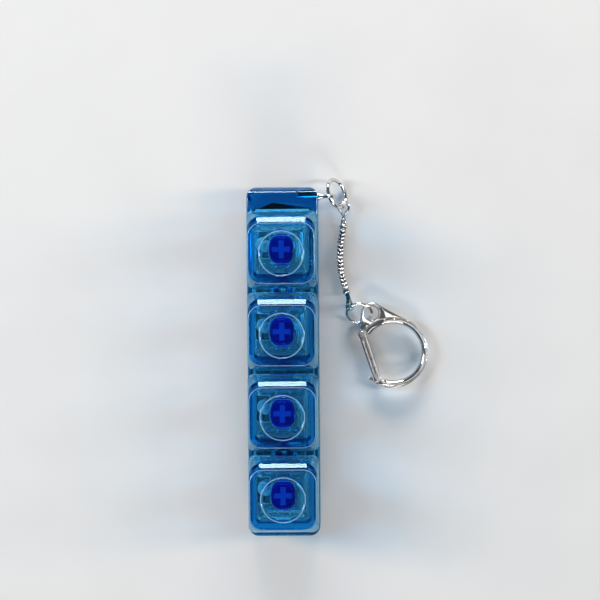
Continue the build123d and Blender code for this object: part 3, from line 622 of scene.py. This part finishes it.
def keycap(number):
    """Hollow cap: tapered walls, rounded crown, round dish with a fine bead, boss with a plus socket."""
    low, high = box_mm(f"keycap_{number}")
    centre = (low + high) / 2
    base_x, base_y = (high.x - low.x) / 2, (high.y - low.y) / 2
    top_x = base_x - 0.45
    bottom, crown = low.z, high.z
    tall = crown - bottom
    roof = crown - CAP_ROOF
    boss_bottom = bottom + 1.85
    dish_centre = centre + Vector((0, CROWN_SHIFT, 0))

    def level(height, inset=0.0, ring_side_inset=None):
        """The cap's outline at a height, drawn in by an inset."""
        share = (height - bottom) / tall
        drop = crown - height
        low_y = -base_y + (CROWN_SHIFT - CROWN_HALF + base_y) * share + inset
        shoulder = CROWN_SHIFT + CROWN_HALF + SHOULDER_RUN
        if drop > SHOULDER_DROP:
            high_y = base_y + (shoulder - base_y) * (height - bottom) / (tall - SHOULDER_DROP)
        else:
            high_y = shoulder - SHOULDER_RUN * (1 - drop / SHOULDER_DROP)
        high_y -= inset if ring_side_inset is None else ring_side_inset
        spot = centre + Vector((0, (low_y + high_y) / 2, 0))
        half_x = base_x + (top_x - base_x) * share - inset
        return rounded_ring(half_x, (high_y - low_y) / 2, 1.5 + 1.7 * share - inset, height, spot)

    rings = [level(bottom, 0.15), level(bottom + 0.05, 0.06), level(bottom + 0.15)]
    break_at = crown - SHOULDER_DROP
    rings += [level(bottom + rise) for rise in (0.4, 1.2, 2.4, 4.0, 5.4)]
    rings += [level(break_at + rise) for rise in (-0.3, -0.1, -0.03, 0.03, 0.1, 0.3)]
    edge = 0.42
    for degrees in (0, 15, 30, 45, 60, 75, 90):
        turn = math.radians(degrees)
        inset = edge * (1 - math.cos(turn))
        rings.append(level(crown - edge + edge * math.sin(turn), inset, 0.12 * (degrees / 90) ** 3))
    rings.append(rounded_ring(top_x - 0.9, CROWN_HALF - 0.9, 2.6, crown, dish_centre))
    bead = ((5.5, 0), (5.4, 0), (5.33, 0.4), (5.25, 0.85), (5.17, 1), (5.09, 0.7), (5.02, 0.1))
    for radius, rise in bead:
        rings.append(circle_ring(radius, crown + RIM_BEAD * rise, dish_centre))
    ball_height = crown + math.sqrt(DISH_SPHERE**2 - DISH_RIM**2)
    for radius in (4.9, 4.6, 4.0, 3.3, 2.5, 1.7, 0.9, 0.3):
        rings.append(circle_ring(radius, ball_height - math.sqrt(DISH_SPHERE**2 - radius**2), dish_centre))

    inner_low = (base_x - CAP_WALL, base_y - CAP_WALL - 0.05, 1.0)
    inner_high = (top_x - 1.5, CROWN_HALF - 1.35, 1.25)
    inside = []
    for share in (0.0, 0.03, 0.25, 0.5, 0.75, 0.93):
        sizes = [a + (b - a) * share for a, b in zip(inner_low, inner_high)]
        inside.append(rounded_ring(*sizes, bottom + (roof - bottom) * share, centre))
    for inset, drop in ((0.0, 0.17), (0.03, 0.08), (0.09, 0.02), (0.17, 0.0)):
        sizes = [v - inset for v in inner_high]
        inside.append(rounded_ring(*sizes, roof - drop, centre))
    inside.append(circle_ring(BOSS_RADIUS + 0.7, roof, centre))
    for radius, height in ((0.25, roof), (0.08, roof - 0.08), (0, roof - 0.25), (0, boss_bottom + 0.15)):
        inside.append(circle_ring(BOSS_RADIUS + radius, height, centre))
    inside.append(circle_ring(BOSS_RADIUS - 0.15, boss_bottom, centre))
    inside.append(cross_ring(boss_bottom, centre))
    inside.append(cross_ring(roof, centre))
    points, faces = skin(list(reversed(rings)) + inside)
    make_piece(
        f"cap_{number}", points, faces, cap_plastic, f"key_{number}",
        (f"keycap_{number}",), crease=32,
    )


for key in KEYS:
    keycap(key)

# ---------------------------------------------------------------- key springs and lamps
SPRING_TURNS = 8
SPRING_WIRE = 0.15


def key_spring(number):
    """Closed-end compression spring."""
    low, high = box_mm(f"spring_{number}")
    centre = (low + high) / 2
    radius = (high.x - low.x) / 2 - SPRING_WIRE
    bottom, top = low.z + SPRING_WIRE, high.z - SPRING_WIRE
    path = []
    count = SPRING_TURNS * 24
    for i in range(count + 1):
        share = i / count
        eased = share - math.sin(2 * math.pi * share) * 0.06
        turn = 2 * math.pi * SPRING_TURNS * share
        spot = Vector((radius * math.cos(turn), radius * math.sin(turn), 0))
        path.append(Vector((centre.x, centre.y, bottom + (top - bottom) * eased)) + spot)
    points, faces = wire(path, SPRING_WIRE, 8)
    piece = make_piece(
        f"key_spring_{number}", points, faces, spring_steel, "case", (f"spring_{number}",)
    )
    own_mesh(piece)


def lamp(number):
    """Round lamp: clear lens with its flange, and a lead frame with a reflector cup and a post inside."""
    low, high = box_mm(f"led_{number}")
    centre = (low + high) / 2
    flange = 1.7
    radius = 1.48
    dome = high.z - 1.5
    foot = dome - 3.6
    origin = Vector((centre.x, centre.y, 0))
    profile = [(foot, 0), (foot, flange - 0.1), (foot + 0.1, flange), (foot + 0.7, flange)]
    profile += [(foot + 0.8, flange - 0.1), (foot + 0.85, radius), (dome, radius)]
    for degrees in range(10, 91, 10):
        turn = math.radians(degrees)
        profile.append((dome + 1.5 * math.sin(turn), radius * math.cos(turn)))
    points, faces = revolve(profile, origin, UP, 40)
    make_piece(f"lamp_lens_{number}", points, faces, led_lens, "case", (f"led_{number}",))
    shapes = []
    for side, top in ((1, dome - 0.2), (-1, dome - 0.5)):
        start = origin + Vector((0, side * 1.27, low.z))
        bend = origin + Vector((0, side * 1.27, foot + 0.6))
        end = origin + Vector((0, side * 0.42, foot + 1.4))
        tip = origin + Vector((0, side * 0.42, top))
        shapes.append(wire([start, bend, end, tip], 0.22, 8))
    cup = [(dome - 0.9, 0), (dome - 0.9, 0.35), (dome - 0.45, 0.62), (dome - 0.2, 0.72)]
    cup += [(dome - 0.2, 0.6), (dome - 0.5, 0.3), (dome - 0.52, 0)]
    shapes.append(revolve(cup, origin + Vector((0, 0.35, 0)), UP, 24))
    points, faces = joined(*shapes)
    make_piece(f"lamp_leads_{number}", points, faces, plated_metal, "case", ())


for key in KEYS:
    key_spring(key)
    lamp(key)

# ---------------------------------------------------------------- rings
def ring_frame(node):
    """Centre, normal, mean radius and wire radius of a CAD ring, in millimetres."""
    mesh = frame["nodes"][node].data
    points = np.array([v.co for v in mesh.vertices], float) / MM
    centre = (points.min(0) + points.max(0)) / 2
    normal = np.linalg.svd(points - centre, full_matrices=False)[2][2]
    height = (points - centre) @ normal
    radii = np.linalg.norm(points - centre - height[:, None] * normal, axis=1)
    mean = (radii.max() + radii.min()) / 2
    return Vector(centre), Vector(normal), mean, (radii.max() - radii.min()) / 2


def jump_ring(name, node, body, held):
    """Round wire ring, closed to a hairline split that faces away from the two places that hold it."""
    centre, normal, radius, wire_radius = ring_frame(node)
    away = -sum(((place - centre).normalized() for place in held), Vector())
    side = (away - normal * away.dot(normal)).normalized()
    other = normal.cross(side)
    half_gap = 0.09 / radius
    path = []
    count = 96
    for i in range(count + 1):
        turn = half_gap + (2 * math.pi - 2 * half_gap) * i / count
        path.append(centre + (side * math.cos(turn) + other * math.sin(turn)) * radius)
    points, faces = wire(path, wire_radius, 18)
    make_piece(name, points, faces, plated_metal, body, (node,))


jump_ring("ring_upper", "jump_ring_upper", "upper_ring", (pivot("upper_ring_swing"), pivot("chain_yaw")))
jump_ring("ring_lower", "jump_ring_lower", "lower_ring", (pivot("lower_ring_swing"), pivot("clasp_swing")))

# ---------------------------------------------------------------- snake chain
LINKS = 4                      # links in each jointed length
LINK_WAVES = 4                 # waves round each link's edge
LINK_WAVE = 0.15
LINK_RADIUS = 0.92
LINK_START = 0.52              # first link's edge, from the length's joint
LINK_GAP = 0.36
chain_joints = [pivot(f"chain_bend_{i}") for i in range(1, 6)]


def wavy_link(origin, axis, start, width):
    """One link of snake chain: a rounded band whose edges wave round it, so that it nests in the next."""
    side = axis.cross(UP).normalized()
    other = side.cross(axis)
    half = width / 2
    profile = ((-1, 0.58), (-1, 0.72), (-0.84, 0.87), (-0.45, 0.97))
    profile += ((0, 1.0),) + tuple((-a, r) for a, r in reversed(profile))
    rings = []
    count = 64
    for i in range(count):
        turn = 2 * math.pi * i / count
        out = side * math.cos(turn) + other * math.sin(turn)
        wave = LINK_WAVE * math.cos(LINK_WAVES * turn)
        rings.append(
            [origin + axis * (start + half + wave + half * a) + out * (LINK_RADIUS * r) for a, r in profile]
        )
    return skin(rings, closed=True)


def chain_core(origin, axis, length):
    """The ball that sits in the length above, its neck, and the core inside the links."""
    profile = [(-0.42, 0.0), (-0.36, 0.21), (-0.21, 0.36), (0.0, 0.42), (0.21, 0.36), (0.37, 0.2)]
    profile += [(0.50, 0.2), (0.56, 0.56), (length - 0.62, 0.56), (length - 0.56, 0.5), (length - 0.55, 0)]
    return revolve(profile, origin, axis, 24)


for index in range(1, 5):
    joint, following = chain_joints[index - 1], chain_joints[index]
    span = (following - joint).length
    heading = (following - joint).normalized()
    pitch = span / LINKS
    # the core is near black, as painted shade between the links
    points, faces = chain_core(joint, heading, span)
    make_piece(f"chain_core_{index}", points, faces, painted_shade_core_metal, f"chain_{index}", ())
    starts = [LINK_START + n * pitch for n in range(LINKS)]
    points, faces = joined(*(wavy_link(joint, heading, start, pitch - LINK_GAP) for start in starts))
    make_piece(
        f"chain_links_{index}", points, faces, plated_metal, f"chain_{index}",
        (f"chain_length_{index}",), crease=50,
    )


def chain_eye():
    """Upper end of the chain: a wire eye whose two strands cross once before the ferrule."""
    hold, joint = pivot("chain_yaw"), chain_joints[0]
    centre = hold + Vector((0.2, -0.1, 0))
    heading = (joint - centre).normalized()
    side = Vector((-heading.y, heading.x, 0)).normalized()
    lift = heading.cross(side)
    reach = (joint - centre).length
    eye_radius, wire_radius = 1.22, 0.3
    opening = math.radians(28)
    neck_start = eye_radius * math.cos(opening)
    neck_side = eye_radius * math.sin(opening)
    ferrule_top = reach - 0.8
    steps = 24

    def strand(sign):
        path = []
        for i in range(steps):
            share = i / steps
            turn = math.pi * min(1.0, share * 1.15)
            apart = neck_side + (0.33 - neck_side) * share
            spot = side * math.cos(turn) + lift * math.sin(turn)
            forward = neck_start + (ferrule_top - neck_start) * share
            path.append(centre + heading * forward + spot * (sign * apart))
        return path

    loop = []
    for i in range(1, 48):
        turn = opening + (2 * math.pi - 2 * opening) * i / 48
        loop.append(centre + (heading * math.cos(turn) + side * math.sin(turn)) * eye_radius)
    path = list(reversed(strand(1))) + loop + strand(-1)
    end = reach + 0.30
    ferrule = [(end - 1.35, 0.0), (end - 1.35, 0.42), (end - 1.12, 0.72), (end - 0.95, 0.90)]
    ferrule += [(end - 0.80, 0.96), (end - 0.30, 0.96), (end - 0.12, 0.90), (end, 0.78)]
    ferrule += [(end, 0.46), (end - 0.2, 0.46), (end - 0.75, 0.40), (end - 0.76, 0.0)]
    return joined(wire(path, wire_radius, 14), revolve(ferrule, centre, heading, 40))


points, faces = chain_eye()
make_piece(
    "chain_eye_and_ferrule", points, faces, plated_metal, "chain_top", ("chain_end_upper",)
)


def chain_strap():
    """Lower end of the chain: a cuff, and a flat strip bent round the lower ring and back on itself."""
    joint, hold = chain_joints[4], pivot("lower_ring_swing")
    heading = (hold - joint).normalized()
    reach = (hold - joint).length
    hinge = next(j for j in frame["joints"] if j["name"] == "lower_ring_swing")
    axis = Vector(hinge["axis"])
    axis = (axis - heading * axis.dot(heading)).normalized()
    lift = axis.cross(heading)
    bend = 0.80
    flat = [(1.45 - reach, 0.16), (-2.2, 0.22), (-1.5, 0.30), (-1.15, 0.40), (-0.88, 0.52)]
    around = []
    for degrees in range(138, -151, -12):
        turn = math.radians(degrees)
        around.append((bend * math.cos(turn), bend * math.sin(turn)))
    back = [(-0.95, -0.30), (-1.3, -0.18), (-1.8, -0.12)]
    path = [hold + heading * a + lift * b for a, b in flat + around + back]
    half, thick = 0.6, 0.16
    outline = [(-half, -thick * 0.6), (-half * 0.93, -thick), (half * 0.93, -thick), (half, -thick * 0.6)]
    outline += [(-a, -b) for a, b in outline]
    cuff = [(-0.42, 0.0), (-0.36, 0.21), (-0.21, 0.36), (0.0, 0.42), (0.21, 0.36)]
    cuff += [(0.37, 0.2), (0.50, 0.2), (0.53, 0.60), (0.60, 0.82), (0.74, 0.93)]
    cuff += [(1.30, 0.93), (1.45, 0.85), (1.60, 0.60), (1.66, 0.0)]
    return joined(sweep(path, outline, start_side=axis), revolve(cuff, joint, heading, 40))


points, faces = chain_strap()
make_piece("chain_strap", points, faces, plated_metal, "chain_bottom", ("chain_end_lower",))

# ---------------------------------------------------------------- snap clasp
CLASP_HALF = 1.0
OPENING_RADIUS = 6.75
RIM_WIDTH = 0.86               # half width of the raised rim round the opening
HOOK_RADIUS = 8.5
EYE_RADIUS = 2.6
GATE_RADIUS = 0.9
GATE_GAP = 0.12
GATE_SWING = 30
LUG_RADIUS = 1.0
PIN_BORE = 0.40

gate_pivot = pivot("gate_opening")
clasp_low, clasp_high = box_mm("clasp_body")
gate_low, gate_high = box_mm("clasp_gate")
hook_centre = np.array((clasp_high.x - HOOK_RADIUS, clasp_low.y + HOOK_RADIUS))
opening_centre = hook_centre + np.array((0.2, 0.1))
eye_centre = np.array((gate_pivot.x + 2.3, gate_pivot.y + 5.1))
gate_tip = np.array((gate_high.x - GATE_RADIUS, gate_low.y + GATE_RADIUS))
pin_place = np.array((gate_pivot.x, gate_pivot.y))
clasp_level = gate_pivot.z


def away(flat, centre):
    """Distance in plan from a point."""
    return np.hypot(flat[..., 0] - centre[0], flat[..., 1] - centre[1])


def hull_of_circles(flat, first, first_radius, second, second_radius):
    """Distance in plan to the outline stretched round two circles."""
    along = second - first
    span = np.hypot(*along)
    along = along / span
    offset = flat[..., :2] - first
    y = offset @ along
    x = np.abs(offset @ np.array((-along[1], along[0])))
    slope = (first_radius - second_radius) / span
    lean = math.sqrt(1 - slope * slope)
    k = y * lean - x * slope
    side = x * lean + y * slope - first_radius
    near = np.hypot(x, y) - first_radius
    far = np.hypot(x, y - span) - second_radius
    return np.where(k < 0, near, np.where(k > lean * span, far, side))


def capsule(flat, start, end, radius):
    """Distance in plan to a straight bar with round ends."""
    run = end - start
    offset = flat[..., :2] - start
    share = np.clip((offset @ run) / (run @ run), 0, 1)
    gap = offset - share[..., None] * run
    return np.hypot(gap[..., 0], gap[..., 1]) - radius


def blended(a, b, reach):
    """Union of two fields with a soft joint."""
    share = np.clip(0.5 + 0.5 * (b - a) / reach, 0, 1)
    return b + (a - b) * share - reach * share * (1 - share)


def slab(plan, height, half, rounding):
    """A plan outline given thickness, with rounded edges."""
    a = plan + rounding
    b = np.abs(height) - half + rounding
    inside = np.minimum(np.maximum(a, b), 0)
    return inside + np.hypot(np.maximum(a, 0), np.maximum(b, 0)) - rounding


def turned(point, centre, degrees):
    """A point in plan, turned about a centre."""
    c, s = math.cos(math.radians(degrees)), math.sin(math.radians(degrees))
    x, y = point - centre
    return centre + np.array((c * x - s * y, s * x + c * y))


def clasp_field(p):
    """Cast clasp: raised rim round the opening, web and eye beside it, and room for the gate."""
    z = p[..., 2] - clasp_level
    hull = hull_of_circles(p, hook_centre, HOOK_RADIUS, eye_centre, EYE_RADIUS)
    from_opening = away(p, opening_centre)
    rim_middle = OPENING_RADIUS + RIM_WIDTH
    rim = (np.hypot((from_opening - rim_middle) / RIM_WIDTH, z / CLASP_HALF) - 1) * RIM_WIDTH
    web_plan = np.maximum(hull, OPENING_RADIUS + 0.5 - from_opening)
    dome = 0.60 + 0.30 * np.clip(-hull / 1.6, 0, 1) ** 0.6
    web = slab(web_plan, z, dome, 0.42)
    body = blended(rim, web, 0.10)
    skyward = np.clip((p[..., 0] - hook_centre[0]) / 8.0, -1, 1)
    groove_middle = OPENING_RADIUS + 1.42 - 0.3 * skyward
    groove = np.hypot(from_opening - groove_middle, (np.abs(z) - 0.80) / 1.4) - 0.20
    body = np.maximum(body, -groove)
    body = np.maximum(body, slab(hull, z, CLASP_HALF, 0.3))
    tilt = math.radians(20)
    offset = p[..., :2] - eye_centre
    u = offset[..., 0] * math.cos(tilt) + offset[..., 1] * math.sin(tilt)
    v = offset[..., 1] * math.cos(tilt) - offset[..., 0] * math.sin(tilt)
    hole = (np.hypot((u + 0.15) / 1.70, v / 1.60) - 1) * 1.6
    flare = 0.12 * np.clip(np.abs(z) / 0.7, 0, 1) ** 3
    body = np.maximum(body, flare - hole)
    dip = 0.7 + 0.3 * np.clip((away(p, eye_centre) - EYE_RADIUS + 0.5) / 1.3, 0, 1) ** 2
    body = np.maximum(body, np.abs(z) - dip)
    # open side: everything left of the line from the hook's nose up past the pivot
    gate_side = gate_tip - pin_place
    gate_side = gate_side / np.hypot(*gate_side)
    across_gate = (p[..., :2] - pin_place) @ np.array((-gate_side[1], gate_side[0]))
    along_gate = (p[..., :2] - pin_place) @ gate_side
    reach = np.hypot(*(gate_tip - pin_place))
    mouth = np.maximum(across_gate - 2.3, np.maximum(0.9 - along_gate, along_gate - (reach - 0.75)))
    body = np.maximum(body, -mouth)
    lug = slab(away(p, pin_place) - LUG_RADIUS, z + 0.19, 0.31, 0.08)
    body = np.maximum(body, -np.maximum(away(p, pin_place) - 1.25, -lug))
    room = np.full(z.shape, 1e3)
    for swing in range(0, GATE_SWING + 1, 5):
        end = turned(gate_tip, pin_place, swing)
        room = np.minimum(room, capsule(p, pin_place, end, GATE_RADIUS + GATE_GAP))
    body = np.maximum(body, -np.maximum(room, -lug))
    body = np.minimum(body, np.maximum(lug, capsule(p, pin_place, eye_centre, 1.6)))
    return np.maximum(body, PIN_BORE - away(p, pin_place))


def gate_field(p):
    """Gate folded from sheet: two cheeks joined by a back on the side of the opening."""
    z = p[..., 2] - clasp_level
    plan = capsule(p, pin_place, gate_tip, GATE_RADIUS)
    half = 0.87
    body = slab(plan, z, half, 0.26)
    heading = gate_tip - pin_place
    heading = heading / np.hypot(*heading)
    across_gate = (p[..., :2] - pin_place) @ np.array((-heading[1], heading[0]))
    sheet = 0.25
    hollow = np.maximum(np.abs(z) - half + sheet, across_gate - GATE_RADIUS + sheet)
    reach = np.hypot(*(gate_tip - pin_place))
    along_gate = (p[..., :2] - pin_place) @ heading
    hollow = np.maximum(hollow, along_gate - reach - GATE_RADIUS + 2 * sheet)
    eye = np.maximum(np.abs(z) - half + sheet, np.abs(along_gate) - LUG_RADIUS - 0.25)
    body = np.maximum(body, -np.minimum(hollow, eye))
    crease = 0.22 - np.hypot(across_gate + 0.15, (np.abs(z) - half - 0.12))
    crease = np.where((along_gate > 1.6) & (along_gate < reach - 0.8), crease, -1)
    body = np.maximum(body, crease)
    return np.maximum(body, PIN_BORE + 0.02 - away(p, pin_place))


def net_piece(name, field, node, cell, body, material):
    """A piece from a distance field, inside its CAD node's box."""
    low, high = box_mm(node)
    margin = Vector((3 * cell,) * 3)
    points, faces = surface_net(field, low - margin, high + margin, cell)
    return make_piece(name, points, faces, material, body, (node,), crease=40)


net_piece("clasp_hook", clasp_field, "clasp_body", 0.12, "clasp", plated_metal)
net_piece("gate_sheet", gate_field, "clasp_gate", 0.075, "gate", gate_metal)

# ---------------------------------------------------------------- stage, light and camera
bpy.ops.mesh.primitive_plane_add(size=4.0, location=(0.0, 0.0, -0.00003))
floor = bpy.context.object
floor.name = "floor"
floor.data.materials.append(floor_material())


def area_light(name, place_mm, aim_mm, size_mm, watts, colour=(1, 1, 1)):
    """A rectangular softbox aimed at a point."""
    light = bpy.data.lights.new(name, "AREA")
    light.shape = "RECTANGLE"
    light.size, light.size_y = size_mm[0] * MM, size_mm[1] * MM
    light.energy = watts
    light.color = colour
    holder = bpy.data.objects.new(name, light)
    holder.location = Vector(place_mm) * MM
    holder.rotation_euler = (Vector(aim_mm) - Vector(place_mm)).to_track_quat("-Z", "Y").to_euler()
    bpy.context.scene.collection.objects.link(holder)
    return holder


ROW_MIDDLE = (6, 5, 10)
area_light("softbox_head", (-10, 640, 232), ROW_MIDDLE, (360, 120), 3.3, (1.0, 0.98, 0.95))
area_light("softbox_left", (-560, 120, 430), ROW_MIDDLE, (150, 420), 2.9, (0.96, 0.98, 1.0))
area_light("softbox_right", (600, 60, 380), ROW_MIDDLE, (90, 420), 1.9, (1.0, 0.98, 0.96))
area_light("softbox_tail", (40, -620, 420), ROW_MIDDLE, (420, 110), 1.6)
softbox_over = area_light("softbox_over", (142, 10, 520), (142, 10, 0), (225, 260), 0.28)
metal_pieces = bpy.data.collections.new("metal_pieces")
for piece in bpy.context.scene.objects:
    if piece.type == "MESH" and piece.active_material in (plated_metal, gate_metal, spring_steel):
        metal_pieces.objects.link(piece)
softbox_over.light_linking.receiver_collection = metal_pieces

world = bpy.data.worlds.new("studio")
world.use_nodes = True
world.node_tree.nodes["Background"].inputs[0].default_value = (0.80, 0.84, 0.90, 1)
# a pale backdrop for the camera, and a dim fill for everything else
seen = node(world.node_tree, "ShaderNodeLightPath").outputs["Is Camera Ray"]
glow = calc(world.node_tree, "MULTIPLY_ADD", seen, 0.85, 0.10)
world.node_tree.links.new(glow, world.node_tree.nodes["Background"].inputs["Strength"])
bpy.context.scene.world = world

CAMERA_REACH = 755.0           # camera's distance, in millimetres
CAMERA_LEAN = (1.2, 1.0)       # degrees off the vertical, towards +X and +Y
CAMERA_TURN = 0.46             # degrees that the row leans in the picture
AIM = Vector((4.15, 16.7, 17.0))

camera_data = bpy.data.cameras.new("camera")
camera_data.lens = 194.0
camera_data.sensor_width = 36.0
camera_data.clip_start = 0.01
camera_data.clip_end = 20.0
camera = bpy.data.objects.new("camera", camera_data)
lean_x, lean_y = (math.tan(math.radians(v)) for v in CAMERA_LEAN)
toward_camera = Vector((lean_x, lean_y, 1)).normalized()
turn = math.radians(CAMERA_TURN)
picture_up = Vector((math.sin(turn), math.cos(turn), 0))
right = picture_up.cross(toward_camera).normalized()
up = toward_camera.cross(right)
facing = Matrix((right, up, toward_camera)).transposed().to_4x4()
camera.matrix_world = Matrix.Translation((AIM + toward_camera * CAMERA_REACH) * MM) @ facing
bpy.context.scene.collection.objects.link(camera)
bpy.context.scene.camera = camera

bpy.context.scene.view_settings.view_transform = "Standard"
bpy.context.scene.cycles.max_bounces = 20
bpy.context.scene.cycles.transmission_bounces = 18
bpy.context.scene.cycles.transparent_max_bounces = 32
bpy.context.scene.cycles.sample_clamp_indirect = 6.0
